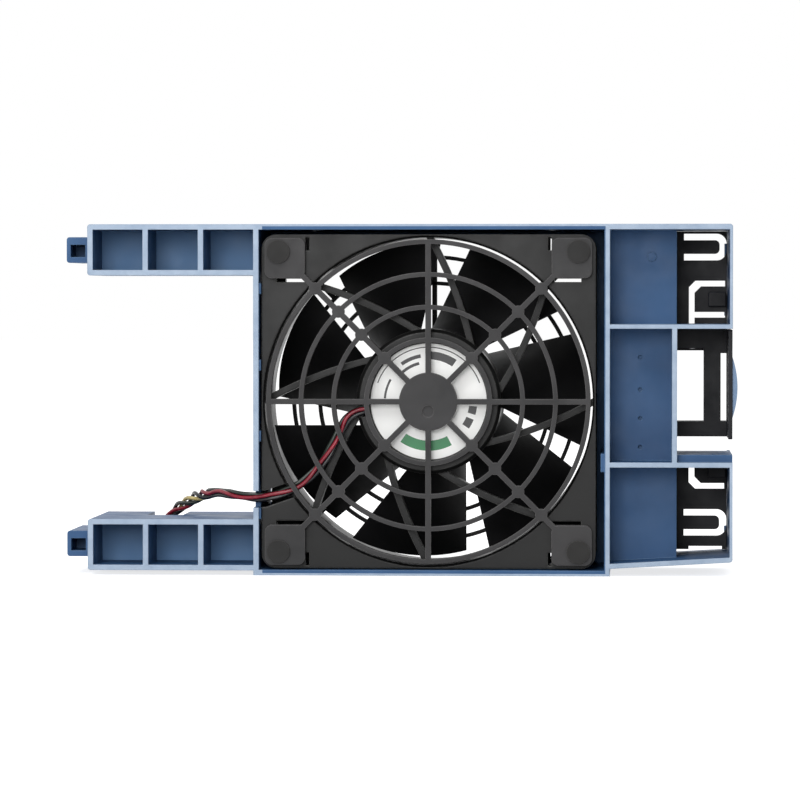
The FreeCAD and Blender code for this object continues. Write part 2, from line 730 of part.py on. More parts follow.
def core_arm(width, inner, outer, y0, y1, degrees):
    arm = block(FAN_X + inner, FAN_X + outer, y0, y1, FAN_Z - width / 2, FAN_Z + width / 2)
    return swung(arm, degrees)


def tooth_angles():
    return [step * 360.0 / TOOTH_COUNT for step in range(TOOTH_COUNT)]


def laminate(y0, y1, bore, tooth_w):
    """The outline of the lamination stack: a hub ring, teeth and pole shoes."""
    hub_r = TUBE_R + CORE_HUB_T
    shoe_inner = CORE_R - SHOE_T
    rim = tube(CORE_R, shoe_inner, y0, y1)
    slots = []
    for angle in tooth_angles():
        gap = 2 * CORE_R * math.sin(math.radians(SHOE_GAP_ANGLE / 2))
        slots.append(core_arm(gap, shoe_inner - 1, CORE_R + 1, y0, y1, angle + 180.0 / TOOTH_COUNT))
    arms = [core_arm(tooth_w, (bore + hub_r) / 2, shoe_inner + SHOE_T / 2, y0, y1, angle) for angle in tooth_angles()]
    return fused([tube(hub_r, bore, y0, y1), rim.cut(slots)] + arms)


def stator_core():
    return laminate(CORE_FRONT, CORE_FRONT + CORE_L, TUBE_R + PRESS_GAP, TOOTH_W)


def insulator(y0):
    return laminate(y0, y0 + INSULATOR_T, TUBE_R + PRESS_GAP, TOOTH_W + 2 * INSULATOR_T)


def stator_coils():
    """One wound coil round each tooth."""
    inner = TUBE_R + CORE_HUB_T + COIL_INSET
    hole_half = TOOTH_W / 2 + INSULATOR_T + PRESS_GAP
    hole_y0 = CORE_FRONT - INSULATOR_T - 2 * PRESS_GAP
    hole_y1 = CORE_FRONT + CORE_L + INSULATOR_T + 2 * PRESS_GAP
    half = hole_half + COIL_BUILD
    outer = math.sqrt((CORE_R - SHOE_T) ** 2 - half ** 2) - SEAT_GAP
    coil = block(FAN_X + inner, FAN_X + outer, hole_y0 - COIL_BUILD, hole_y1 + COIL_BUILD, FAN_Z - half, FAN_Z + half)
    long_edges = [edge for edge in coil.Edges if abs(edge.BoundBox.XLength - (outer - inner)) < 1e-6]
    coil = coil.makeFillet(COIL_BUILD * 0.8, long_edges)
    window = block(FAN_X + inner, FAN_X + outer, hole_y0, hole_y1, FAN_Z - hole_half, FAN_Z + hole_half)
    coil = coil.cut(window)
    return Part.makeCompound([swung(coil, angle) for angle in tooth_angles()])


def circuit_board():
    return tube(BASE_R - BASE_WALL - BOARD_CLEAR, TUBE_R + TUBE_BOSS_WALL + BOARD_CLEAR / 2, BOARD_FRONT, BOARD_REAR)


def board_parts():
    """The drive chip, the capacitor and the Hall sensor, seated on the board."""
    chip_x, chip_z = polar(POST_PITCH_R - 1, 30)
    chip = block(chip_x - CHIP_L / 2, chip_x + CHIP_L / 2, BOARD_FRONT - CHIP_H, BOARD_FRONT,
                 chip_z - CHIP_W / 2, chip_z + CHIP_W / 2)
    cap_x, cap_z = polar(POST_PITCH_R - 1, 150)
    cap = rod(CHIP_W / 2, BOARD_FRONT - CHIP_H, BOARD_FRONT, cap_x, cap_z)
    hall_x, hall_z = polar(CORE_R, 270)
    hall = block(hall_x - CHIP_W / 2, hall_x + CHIP_W / 2, BOARD_REAR, BOARD_REAR + CHIP_H,
                 hall_z - CHIP_H / 2, hall_z + CHIP_H / 2)
    return Part.makeCompound([chip, cap, hall])


def motor_label():
    rear = BASE_FRONT + LABEL_RECESS
    return rod(LABEL_R, rear - LABEL_T, rear)


# ---- carrier ----
def fan_bay():
    outer = block(BOX_LEFT, BOX_RIGHT, Y_FRONT, Y_REAR, 0, BOX_TOP)
    bay = block(BAY_LEFT, BAY_RIGHT, Y_FRONT, Y_REAR, BAY_WALL, BOX_TOP - BAY_WALL)
    return outer.cut(bay)


def bay_ledges():
    """The rear corner stops that the fan rests against, and the lips that close the gaps over and beside it."""
    y0, y1 = FAN_REAR + SEAT_GAP, Y_REAR - REAR_RECESS
    ledges = []
    for side, x in ((1, BAY_LEFT), (-1, BAY_RIGHT)):
        for up, z in ((1, BAY_WALL), (-1, BOX_TOP - BAY_WALL)):
            leg_x, leg_z = side * LEDGE_LEG, up * LEDGE_LEG
            ledges.append(prism([(x - side, z - up), (x + leg_x, z - up), (x + leg_x, z),
                                 (x, z + leg_z), (x - side, z + leg_z)], y0, y1))
    fan_right, fan_top = FAN_X + FAN_SIZE / 2, FAN_Z + FAN_SIZE / 2
    wall_right, wall_top = BAY_RIGHT + BAY_WALL / 2, BOX_TOP - BAY_WALL / 2
    ledges.append(block(fan_right - LEDGE_LIP, wall_right, y0, y1, BAY_WALL / 2, wall_top))
    ledges.append(block(BAY_LEFT - BAY_WALL / 2, wall_right, y0, y1, fan_top - LEDGE_LIP, wall_top))
    return ledges


def bay_lugs():
    """Small ribs on the bay's sides that keep the fan from rattling."""
    lugs = []
    lug_rear = FAN_FRONT + FLANGE_T
    for height in (share * BOX_TOP for share in LUG_SHARES):
        z = BAY_WALL + height
        lugs.append(block(BAY_LEFT - BAY_WALL / 2, BAY_LEFT + FAN_GAP_LEFT - SEAT_GAP, Y_FRONT + GUARD_RECESS,
                          lug_rear, z - LUG_H / 2, z + LUG_H / 2))
    z = BAY_WALL + RIGHT_LUG_SHARE * BAY_H
    lugs.append(block(BAY_RIGHT - RIGHT_LUG_T, BAY_RIGHT + BAY_WALL / 2, Y_FRONT + GUARD_RECESS,
                      FAN_REAR, z - RIGHT_LUG_H / 2, z + RIGHT_LUG_H / 2))
    return lugs


def arm(z0, rear_ribs):
    """One hollow arm: open pockets at the front, and behind their floors a channel with or without ribs."""
    outer = block(ARM_LEFT, BOX_LEFT + BAY_WALL / 2, Y_FRONT, Y_REAR, z0, z0 + ARM_H)
    outer = outer.makeFillet(CARRIER_EDGE_R, edges_along_y(outer, lambda x, z: x < BOX_LEFT))
    pitch = ARM_L / ARM_POCKETS
    cuts = []
    for step in range(ARM_POCKETS):
        x0 = ARM_LEFT + step * pitch + ARM_WALL
        x1 = ARM_LEFT + (step + 1) * pitch
        low, high = z0 + ARM_WALL, z0 + ARM_H - ARM_WALL
        cuts.append(block(x0, x1, Y_FRONT, ARM_FLOOR_FRONT, low, high))
        rear_x1 = x1 if rear_ribs else min(x1 + ARM_WALL, BOX_LEFT)
        cuts.append(block(x0, rear_x1, ARM_FLOOR_REAR, Y_REAR, low, high))
    return outer.cut(cuts)


def guide_peg(z_middle):
    """The hollow peg at an arm's left end that hooks into the chassis."""
    z0, z1 = z_middle - PEG_H / 2, z_middle + PEG_H / 2
    y0 = Y_FRONT + PEG_SETBACK
    outer = block(ARM_LEFT - PEG_L, ARM_LEFT + ARM_WALL / 2, y0, y0 + PEG_DEPTH, z0, z1)
    outer = outer.makeFillet(CARRIER_EDGE_R, edges_along_y(outer, lambda x, z: x < ARM_LEFT))
    return outer.cut(block(ARM_LEFT - PEG_L + PEG_WALL, ARM_LEFT - PEG_WALL, y0, y0 + PEG_POCKET_DEPTH,
                           z0 + PEG_BOTTOM_WALL, z1 - PEG_TOP_WALL))


def right_block():
    """The block beside the fan: shallow floors at the left and a deep channel for the lever at the right."""
    outline = [
        (BOX_RIGHT - BAY_WALL / 2, BOX_TOP),
        (BLOCK_RIGHT, BOX_TOP),
        (BLOCK_RIGHT, FOOT_LIFT_OUTER),
        (BOX_RIGHT - BAY_WALL / 2, FOOT_LIFT_INNER),
    ]
    body = prism(outline, Y_FRONT, Y_REAR)
    body = body.makeFillet(CARRIER_EDGE_R, edges_along_y(body, lambda x, z: x > BOX_RIGHT))
    slope = (FOOT_LIFT_OUTER - FOOT_LIFT_INNER) / (BLOCK_RIGHT - BOX_RIGHT)

    def foot(x):
        return FOOT_LIFT_INNER + slope * (x - BOX_RIGHT) + BLOCK_WALL

    def bottom_cell(x0, x1, y0, y1):
        return prism([(x0, foot(x0)), (x1, foot(x1)), (x1, BOTTOM_CELL_TOP), (x0, BOTTOM_CELL_TOP)], y0, y1)

    cuts = []
    band_skin = BOTTOM_CELL_TOP + BAND_SKIN_T
    for y0, y1 in ((Y_FRONT, FLOOR_FRONT), (FLOOR_REAR, Y_REAR)):
        cuts.append(block(BOX_RIGHT, DIVIDER_LEFT, y0, y1, MID_WALL_Z, CELL_TOP))
        cuts.append(block(BOX_RIGHT, DIVIDER_LEFT, y0, y1, band_skin, MID_CELL_TOP))
        cuts.append(bottom_cell(BOX_RIGHT, DIVIDER_LEFT, y0, y1))
    cuts.append(block(DIVIDER_LEFT, SIDE_INNER, Y_FRONT, FLOOR_FRONT, MID_WALL_Z, CELL_TOP))
    cuts.append(bottom_cell(DIVIDER_LEFT, SIDE_INNER, Y_FRONT, FLOOR_FRONT))
    cuts.append(block(DIVIDER_RIGHT, SIDE_INNER, FLOOR_FRONT, Y_REAR, MID_WALL_Z, CELL_TOP))
    cuts.append(bottom_cell(DIVIDER_RIGHT, SIDE_INNER, FLOOR_FRONT, Y_REAR))
    cuts.append(block(DIVIDER_RIGHT, BLOCK_RIGHT, Y_FRONT, Y_REAR, MID_CELL_BOTTOM, MID_CELL_TOP))
    lever_room = LEVER_FRONT - LEVER_GAP
    cuts.append(block(DIVIDER_LEFT - DIVIDER_T, DIVIDER_RIGHT, lever_room, Y_REAR, MID_CELL_BOTTOM, MID_CELL_TOP))
    cuts.append(block(DIVIDER_RIGHT, SIDE_INNER, PLATE_FRONT - SEAT_GAP, Y_REAR, MID_CELL_TOP, MID_WALL_Z))
    cuts.append(block(DIVIDER_RIGHT, SIDE_INNER, PLATE_FRONT - SEAT_GAP, Y_REAR, BOTTOM_CELL_TOP, MID_CELL_BOTTOM))
    cuts.append(block(DIVIDER_RIGHT, BLOCK_RIGHT, Y_FRONT, Y_FRONT + BAND_STEP_DEPTH, band_skin, MID_CELL_BOTTOM))
    for drop in (share * MID_CELL_H for share in PINHOLE_SHARES):
        cuts.append(rod(PINHOLE_R, FLOOR_FRONT, FLOOR_FRONT + PINHOLE_DEPTH, BOX_RIGHT + PINHOLE_X, MID_CELL_TOP - drop))
    nub = rod(NUB_R, FLOOR_FRONT - NUB_H, FLOOR_FRONT, BOX_RIGHT + NUB_X, BOX_TOP - NUB_DROP)
    return fused([body.cut(cuts), nub] + plate_hooks())


def plate_hooks():
    """Small catches behind the retainer plates."""
    y0 = PLATE_REAR + SEAT_GAP
    heights = [CELL_TOP - TOP_CELL_H * share for share in TOP_HOOK_SHARES]
    heights += [BOTTOM_CELL_TOP * share for share in BOTTOM_HOOK_SHARES]
    hooks = []
    for z in heights:
        for x, side in ((DIVIDER_RIGHT, 1), (SIDE_INNER, -1)):
            x0, x1 = sorted((x - side * DIVIDER_T / 4, x + side * HOOK_PROUD))
            hooks.append(block(x0, x1, y0, y0 + HOOK_T, z - HOOK_L / 2, z + HOOK_L / 2))
    return hooks


def plug_socket():
    """Two ribs that hold the connector in the lower arm's channel, and the connector's way out of the end wall."""
    gap = SEAT_GAP + PRESS_GAP
    half_y, half_z = PLUG_T / 2 + gap, PLUG_W / 2 + gap
    x1 = ARM_LEFT + ARM_WALL + SOCKET_L
    z0, z1 = LOWER_ARM_LIFT + ARM_WALL / 2, LOWER_ARM_LIFT + ARM_H - ARM_WALL / 2
    ribs = [block(ARM_LEFT + ARM_WALL / 2, x1, y, y + SOCKET_WALL, z0, z1)
            for y in (PLUG_Y - half_y - SOCKET_WALL, PLUG_Y + half_y)]
    well = block(ARM_LEFT, ARM_LEFT + ARM_WALL, PLUG_Y - half_y, PLUG_Y + half_y, PLUG_Z - half_z, PLUG_Z + half_z)
    return ribs, well


def module_frame():
    arms = [arm(LOWER_ARM_LIFT, False), arm(UPPER_ARM_Z, True)]
    pegs = [guide_peg(z + ARM_H / 2) for z in (LOWER_ARM_LIFT, UPPER_ARM_Z)]
    ribs, well = plug_socket()
    body = fused([fan_bay()] + arms + pegs + [right_block()] + bay_ledges() + bay_lugs() + ribs)
    exit_notch = lead_channel(BOX_LEFT, BAY_LEFT, LEAD_EXIT_Z, LEAD_EXIT_Z, Y_FRONT, LEAD_Y + LEAD_NOTCH_W / 2)
    roof = LOWER_ARM_LIFT + ARM_H
    door_x = ARM_LEFT + LEAD_DOOR_LEFT
    door = block(door_x, door_x + LEAD_DOOR_W, ARM_FLOOR_REAR, Y_REAR, roof - ARM_WALL, roof)
    ledge_holes = [rod(BOLT_HOLE_R, FAN_REAR, Y_REAR, x, z) for x, z in bolt_points()]
    return body.cut([well, exit_notch, door] + ledge_holes)


# ---- retainer plates ----
def tongue_slot(z_middle):
    """A slot that leaves a sprung tongue, rooted at the left."""
    x0 = PLATE_LEFT + TONGUE_INSET
    tip_x = x0 + TONGUE_L
    half = TONGUE_H / 2
    outer = half + TONGUE_SLOT_W
    legs = block(x0, tip_x + TONGUE_SIDE_SLOT, PLATE_FRONT, PLATE_REAR, z_middle - outer, z_middle + outer)
    legs = legs.makeFillet(TONGUE_SLOT_R, edges_along_y(legs, lambda x, z: x > tip_x))
    tongue = block(x0, tip_x, PLATE_FRONT, PLATE_REAR, z_middle - half, z_middle + half)
    return legs.cut(tongue.makeFillet(TONGUE_TIP_R, edges_along_y(tongue, lambda x, z: x > x0)))


def tab_slot(z_top, outward):
    """A slot round three sides of a tab that is rooted at the right, and the short stub beyond it."""
    x0, x1 = PLATE_LEFT + TAB_INSET, PLATE_RIGHT
    corner = TAB_CORNER
    z_end = z_top - outward * (TAB_H + 2 * SLOT_W)
    inner_x = x0 + SLOT_W
    ring = prism([(x0 + corner, z_top), (x1, z_top), (x1, z_end), (x0, z_end), (x0, z_top - outward * corner)],
                 PLATE_FRONT, PLATE_REAR)
    tab = prism([(inner_x + corner, z_top - outward * SLOT_W), (x1, z_top - outward * SLOT_W),
                 (x1, z_end + outward * SLOT_W), (inner_x, z_end + outward * SLOT_W),
                 (inner_x, z_top - outward * (SLOT_W + corner))], PLATE_FRONT, PLATE_REAR)
    stub_z0, stub_z1 = sorted((z_end, z_end - outward * PLATE_STUB_L))
    stub = block(x0, x0 + SLOT_W, PLATE_FRONT, PLATE_REAR, stub_z0, stub_z1)
    edge = block(x1 - SLOT_W / 3, x1, PLATE_FRONT, PLATE_REAR, min(z_top, z_end), max(z_top, z_end))
    return ring.cut(tab).cut(edge).fuse(stub), tab_barb((z_top + z_end) / 2)


def tab_barb(z_middle):
    half = TAB_BARB_H / 2
    x1 = PLATE_RIGHT - SLOT_W / 4
    return block(x1 - TAB_BARB_L, x1, PLATE_FRONT - TAB_BARB_T, PLATE_FRONT + PLATE_T / 2, z_middle - half, z_middle + half)


def retainer(z0, z1, tongue_z, tab_z, outward):
    plate = block(PLATE_LEFT, PLATE_RIGHT, PLATE_FRONT, PLATE_REAR, z0, z1)
    slot, barb = tab_slot(tab_z, outward)
    return fused([plate.cut([tongue_slot(tongue_z), slot]), barb])


def upper_retainer():
    """The black plate behind the top cell; its tail carries the lever's pin."""
    z1 = CELL_TOP - SEAT_GAP
    plate = retainer(MID_CELL_TOP - PLATE_TAIL, z1, z1 - TONGUE_DROP, z1 - TAB_DROP + SLOT_W, 1)
    pin_hole = rod(LATCH_PIN_R + PRESS_GAP, PLATE_FRONT, PLATE_REAR, LATCH_PIN_POINT_X, LATCH_PIN_POINT_Z)
    return plate.cut(pin_hole)


def lower_retainer():
    z0 = FOOT_LIFT_OUTER + BLOCK_WALL + SEAT_GAP
    z1 = MID_CELL_BOTTOM - SEAT_GAP
    plate = retainer(z0, z1, z0 + LOWER_TONGUE_RATIO * TONGUE_DROP, z0 + TAB_DROP + SLOT_W, -1)
    notch_x = PLATE_LEFT + TAB_INSET
    return plate.cut(block(notch_x, notch_x + FOOT_NOTCH_L, PLATE_FRONT, PLATE_REAR, z0, z0 + FOOT_NOTCH_H))


# ---- release lever ----
def release_lever():
    """The black lever: a head that turns on the pin, a bar, a catch foot and the outer strip."""
    bar_left = LEVER_LEFT + LEVER_BAR_X
    bar_right = bar_left + LEVER_BAR_W
    window_right = STRIP_INNER
    head_bottom = LEVER_TOP - LEVER_HEAD_H
    head = block(LEVER_LEFT, bar_right, LEVER_FRONT, LEVER_REAR, head_bottom, LEVER_TOP)
    head_low = block(bar_left, BLOCK_RIGHT, LEVER_FRONT, LEVER_REAR, head_bottom - LEVER_HEAD_STEP, LEVER_TOP)
    bar = block(bar_left, bar_right, LEVER_FRONT, LEVER_REAR, LEVER_BOTTOM, LEVER_TOP)
    foot = block(LEVER_LEFT, window_right, LEVER_FRONT, LEVER_REAR, LEVER_BOTTOM, LEVER_BOTTOM + LEVER_FOOT_H)
    strip = block(STRIP_INNER, BLOCK_RIGHT, Y_FRONT + STRIP_FRONT, LEVER_REAR, LEVER_BOTTOM, LEVER_TOP)
    body = fused([head, head_low, bar, foot, strip])
    corners = edges_along_y(body, lambda x, z: abs(z - LEVER_TOP) < 1e-6 and abs(x - LEVER_LEFT) < 1e-6)
    body = body.makeFillet(LEVER_CORNER_R, corners)
    bore = rod(LATCH_PIN_R + RUN_GAP, LEVER_FRONT + LATCH_PIN_FRONT_WALL, LEVER_REAR,
               LATCH_PIN_POINT_X, LATCH_PIN_POINT_Z)
    well = rod(LATCH_SPRING_WELL_R, LEVER_REAR - LATCH_SPRING_L - 2 * LEVER_GAP, LEVER_REAR,
               LATCH_PIN_POINT_X, LATCH_PIN_POINT_Z)
    return body.cut([bore, well])


def finger_pad():
    """The blue finger pad: a shallow arch on the lever's outer strip."""
    z1 = LEVER_TOP - PAD_DROP
    z0 = z1 - PAD_H
    y0 = Y_FRONT + PAD_FRONT
    foot, crown = BLOCK_RIGHT, BLOCK_RIGHT + PAD_PROUD
    start, middle, end = V(foot, y0, z0), V(crown, y0, (z0 + z1) / 2), V(foot, y0, z1)
    outline = Part.Wire([Part.Arc(start, middle, end).toShape(), Part.LineSegment(end, start).toShape()])
    return Part.Face(outline).extrude(V(0, PAD_L, 0))


def latch_pin():
    return rod(LATCH_PIN_R, LEVER_FRONT + LATCH_PIN_FRONT_WALL + LEVER_GAP, PLATE_REAR,
               LATCH_PIN_POINT_X, LATCH_PIN_POINT_Z)


def latch_spring():
    """The torsion spring round the lever's pin."""
    pitch = LATCH_SPRING_L / LATCH_SPRING_TURNS
    helix = Part.makeHelix(pitch, LATCH_SPRING_L - 2 * LATCH_SPRING_WIRE_R, LATCH_SPRING_R)
    half = LATCH_SPRING_WIRE_R
    corners = [V(LATCH_SPRING_R + x, 0, z) for x, z in ((-half, -half), (half, -half), (half, half), (-half, half))]
    coil = Part.Wire(helix.Edges).makePipeShell([Part.makePolygon(corners + corners[:1])], True, True)
    coil.rotate(V(0, 0, 0), V(1, 0, 0), -90)
    coil.translate(V(LATCH_PIN_POINT_X, LEVER_REAR + LEVER_GAP / 2 - LATCH_SPRING_L, LATCH_PIN_POINT_Z))
    return coil


# ---- fan lead ----
def between(low, high, share):
    return low + (high - low) * share


def lead_route():
    """The lead's corners, from the motor base to the connector in the lower arm."""
    start_x, start_z = polar(LEAD_START_R, LEAD_ANGLE)
    base = V(FAN_X - BASE_R, LEAD_Y, FAN_Z)
    bend = V(FAN_X - FAN_SIZE / 2 + LEAD_BEND_INSET, LEAD_Y, LEAD_EXIT_Z)
    way_out = V(BOX_LEFT, LEAD_Y, LEAD_EXIT_Z)
    plug = V(PLUG_RIGHT + LEAD_END_GAP, PLUG_Y, PLUG_Z)
    inside = [V(between(base.x, bend.x, left), LEAD_Y, between(base.z, bend.z, down)) for left, down in LEAD_INSIDE]
    outside = [V(between(way_out.x, plug.x, left), between(way_out.y, plug.y, back), between(way_out.z, plug.z, down))
               for left, back, down in LEAD_OUTSIDE]
    return [V(start_x, LEAD_Y, start_z)] + inside + [bend] + outside + [plug]


def fan_lead():
    """The bundle of four thin wires: straight runs joined by tangent arcs."""
    points = lead_route()
    edges = []
    start = points[0]
    smallest = None
    for before, corner, after in zip(points, points[1:], points[2:]):
        come, leave = (corner - before), (after - corner)
        half_turn = come.getAngle(leave) / 2
        trim = 0.45 * min(come.Length, leave.Length)
        radius = trim / math.tan(half_turn)
        smallest = radius if smallest is None else min(smallest, radius)
        enter = corner - V(come).normalize() * trim
        exit_point = corner + V(leave).normalize() * trim
        towards = (V(leave).normalize() - V(come).normalize()).normalize()
        sag = radius / math.cos(half_turn) - radius
        edges.append(Part.LineSegment(start, enter).toShape())
        edges.append(Part.Arc(enter, corner + towards * sag, exit_point).toShape())
        print("lead bend radius %.1f mm" % radius)
        start = exit_point
    edges.append(Part.LineSegment(start, points[-1]).toShape())
    path = Part.Wire(edges)
    section = Part.Wire(Part.makeCircle(LEAD_R, points[0], points[1] - points[0]))
    lead = path.makePipeShell([section], True, True)
    print("lead length %.1f mm, smallest bend %.1f mm, volume ratio %.4f"
          % (path.Length, smallest, lead.Volume / (math.pi * LEAD_R ** 2 * path.Length)))
    return lead


def way_offsets():
    first = -PLUG_PITCH * (PLUG_WAYS - 1) / 2
    return [first + PLUG_PITCH * step for step in range(PLUG_WAYS)]


def connector_housing():
    """The four-way housing; its mating face looks out of the arm's left end."""
    body = block(PLUG_LEFT, PLUG_RIGHT, PLUG_Y - PLUG_T / 2, PLUG_Y + PLUG_T / 2,
                 PLUG_Z - PLUG_W / 2, PLUG_Z + PLUG_W / 2)
    half = CAVITY_W / 2
    cavities = [block(PLUG_LEFT, PLUG_LEFT + CAVITY_DEPTH, PLUG_Y - half, PLUG_Y + half,
                      PLUG_Z + way - half, PLUG_Z + way + half) for way in way_offsets()]
    return body.cut(cavities)


def connector_contacts():
    """Crimp contacts, one in each cavity, seated against the cavity's end."""
    half_w, half_t = CONTACT_W / 2, CONTACT_T / 2
    return Part.makeCompound([
        block(PLUG_LEFT + CONTACT_T, PLUG_LEFT + CAVITY_DEPTH, PLUG_Y - half_t, PLUG_Y + half_t,
              PLUG_Z + way - half_w, PLUG_Z + way + half_w) for way in way_offsets()])


PARTS = {
    "module_frame": module_frame,
    "upper_retainer": upper_retainer,
    "lower_retainer": lower_retainer,
    "release_lever": release_lever,
    "finger_pad": finger_pad,
    "latch_pin": latch_pin,
    "latch_spring": latch_spring,
    "fan_housing": fan_housing,
    "finger_guard": finger_guard,
    "guard_rivets": guard_rivets,
    "rear_isolators": rear_isolators,
    "motor_label": motor_label,
    "bearing_tube": bearing_tube,
    "front_bearing": lambda: bearing(TUBE_FRONT + FRONT_BEARING_INSET),
    "rear_bearing": lambda: bearing(TUBE_REAR - BEARING_W),
    "stator_core": stator_core,
    "front_insulator": lambda: insulator(CORE_FRONT - INSULATOR_T - PRESS_GAP),
    "rear_insulator": lambda: insulator(CORE_FRONT + CORE_L + PRESS_GAP),
    "stator_coils": stator_coils,
    "circuit_board": circuit_board,
    "board_parts": board_parts,
    "impeller": impeller,
    "rotor_yoke": rotor_yoke,
    "rotor_magnet": rotor_magnet,
    "rotor_shaft": rotor_shaft,
    "shaft_insert": shaft_insert,
    "retaining_clip": retaining_clip,
    "preload_spring": preload_spring,
    "fan_lead": fan_lead,
    "connector_housing": connector_housing,
    "connector_contacts": connector_contacts,
}

os.makedirs("parts", exist_ok=True)
for name, make in PARTS.items():
    shape = make()
    shape.exportStep("parts/%s.step" % name)
    print("%-20s solids %d  volume %.1f  valid %s" % (name, len(shape.Solids), shape.Volume, shape.isValid()))
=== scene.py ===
"""Server fan module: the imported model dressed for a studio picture."""
import math

import bmesh
import bpy
from mathutils import Matrix, Vector

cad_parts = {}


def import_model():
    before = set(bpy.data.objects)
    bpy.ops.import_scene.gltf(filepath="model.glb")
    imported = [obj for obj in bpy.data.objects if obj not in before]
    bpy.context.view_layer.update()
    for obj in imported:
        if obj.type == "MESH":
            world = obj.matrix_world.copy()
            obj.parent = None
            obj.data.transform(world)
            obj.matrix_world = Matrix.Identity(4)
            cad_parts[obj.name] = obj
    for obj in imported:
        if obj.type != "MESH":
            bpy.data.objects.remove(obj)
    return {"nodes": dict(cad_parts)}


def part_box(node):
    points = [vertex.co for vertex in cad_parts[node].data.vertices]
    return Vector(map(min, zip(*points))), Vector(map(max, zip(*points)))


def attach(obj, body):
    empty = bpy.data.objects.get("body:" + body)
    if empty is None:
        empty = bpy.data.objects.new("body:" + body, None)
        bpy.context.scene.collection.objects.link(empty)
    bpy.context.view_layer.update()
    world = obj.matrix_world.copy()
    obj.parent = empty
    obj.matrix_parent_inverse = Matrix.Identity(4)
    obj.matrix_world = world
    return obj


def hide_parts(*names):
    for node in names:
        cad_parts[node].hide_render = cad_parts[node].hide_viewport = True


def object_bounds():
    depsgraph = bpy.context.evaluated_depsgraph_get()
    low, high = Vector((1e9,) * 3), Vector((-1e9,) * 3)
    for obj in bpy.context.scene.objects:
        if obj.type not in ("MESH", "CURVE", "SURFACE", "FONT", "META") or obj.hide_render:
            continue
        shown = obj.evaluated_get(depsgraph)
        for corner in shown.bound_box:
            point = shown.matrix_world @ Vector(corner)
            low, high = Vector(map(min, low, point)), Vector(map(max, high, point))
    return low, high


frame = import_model()
cad_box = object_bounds()

# ---- camera, in metres ----
PICTURE_PIXELS = 800
PIXELS_PER_METRE = 3642.0       # at the middle of the module's front face
CAMERA_X = 0.057                # right of the middle, as the photo's deep parts lean
CAMERA_HEIGHT = 0.078
CAMERA_DISTANCE = 1.25          # from the module's front face
SENSOR = 36.0                   # in millimetres, as Blender states it

# ---- light: name, place, size and watts of each lamp ----
LAMPS = (
    ("key", (-0.20, -0.60, 0.70), (0.4, 0.4), 3.0),
    ("front", (-0.15, -1.30, 0.34), (0.45, 0.45), 6.5),
    ("back", (0.1, 0.8, 0.7), (0.7, 0.5), 2.0),
)
WORLD_FILL = 0.40               # the white world's strength for light, next to 1 where it is seen
FLOOR_GLOW = 0.75
FLOOR_REACH = 6.0
FLOOR_DROP = 0.0001

# ---- the fan lead ----
WIRE_R = 0.00056
WIRE_OFFSET = 0.00080           # from the bundle's middle to a wire's middle
TWIST_PITCH = 0.021
TWIST_FROM = 0.62               # share of the lead from which its wires turn round each other
SWAY, SWAY_PITCH = 0.6, 0.017   # before that they only sway, in radians and metres
SWAY_FADE = 0.1
LOOSE_START, LOOSE_END = 0.60, 0.86
LOOSE_FADE = 0.08
LOOSE_SPREAD = 1.7
FAN_OUT = 0.90                  # share of the lead after which the wires part to their contacts
PLUG_PITCH = 0.0020
LEAD_ROUTE = (
    (-0.01739, -0.0168, 0.04589),
    (-0.02261, -0.0168, 0.04489),
    (-0.02600, -0.0168, 0.03860),
    (-0.03021, -0.0168, 0.03021),
    (-0.03719, -0.0168, 0.02391),
    (-0.04600, -0.0168, 0.02090),
    (-0.05440, -0.0144, 0.02180),
    (-0.06059, -0.0066, 0.02231),
    (-0.06580, 0.0010, 0.02100),
    (-0.07139, 0.0092, 0.01840),
    (-0.07642, 0.0140, 0.01360),
    (-0.08059, 0.0161, 0.00925),
    (-0.08625, 0.0163, 0.00835),
)

# ---- places on the module that shades follow, painted highlight and painted light among them ----
FAN_X, FAN_Z = -0.0009, 0.0478  # the fan's axis
FRONT_Y = -0.022
FRONT_MARGIN = 0.0001
RIGHT_WALL_X = 0.0831
BAY_SIDES = (-0.0465, 0.0478)
BAY_RIM_SHADE_BAND = (0.0006, 0.0960)     # between these heights the edges above and below the bay keep their blue, as painted shade, where the rest of the front gets a painted highlight
ARM_FLOOR_Y = 0.0
ARM_FLOOR_MARGIN = 0.0002
ARM_FLOOR_FACING = -0.9         # the normal's Y below which a face looks forward
ARM_FLOOR_SHARE = 0.75          # how strongly the painted light on the arm pockets' thin floors shows
ARM_END_X = -0.049              # the arms lie beyond it

# ---- the label's marks: inner and outer radius, first and last degree round the fan ----
LABEL_GREEN = (0.0108, 0.0136, -125.0, -62.0)
LABEL_BARS = (
    (0.0116, 0.0138, 56.0, 92.0),
    (0.0122, 0.0132, 100.0, 126.0),
    (0.0104, 0.0112, 104.0, 140.0),
    (0.0112, 0.0134, -34.0, -22.0),
    (0.0112, 0.0134, -16.0, -6.0),
    (0.0118, 0.0124, 150.0, 176.0),
    (0.0148, 0.0151, 20.0, 160.0),
)

# ---- the guard behind the blades ----
REAR_RINGS = (0.0180, 0.0326, 0.0400)
REAR_RING_STEPS = 120
REAR_RING_W = 0.0011
REAR_RING_T = 0.0018            # also the spokes' and legs' depth
REAR_SPOKE_W = 0.0014
REAR_LEG_END = 0.0525           # how far from the axis the legs reach the housing's corners
REAR_SOFTENED = 0.0002


# ---- node helpers ----
def srgb(red, green, blue):
    """A linear colour from 0-255 screen values."""
    def linear(value):
        share = value / 255.0
        return share / 12.92 if share <= 0.04045 else ((share + 0.055) / 1.055) ** 2.4
    return (linear(red), linear(green), linear(blue), 1.0)


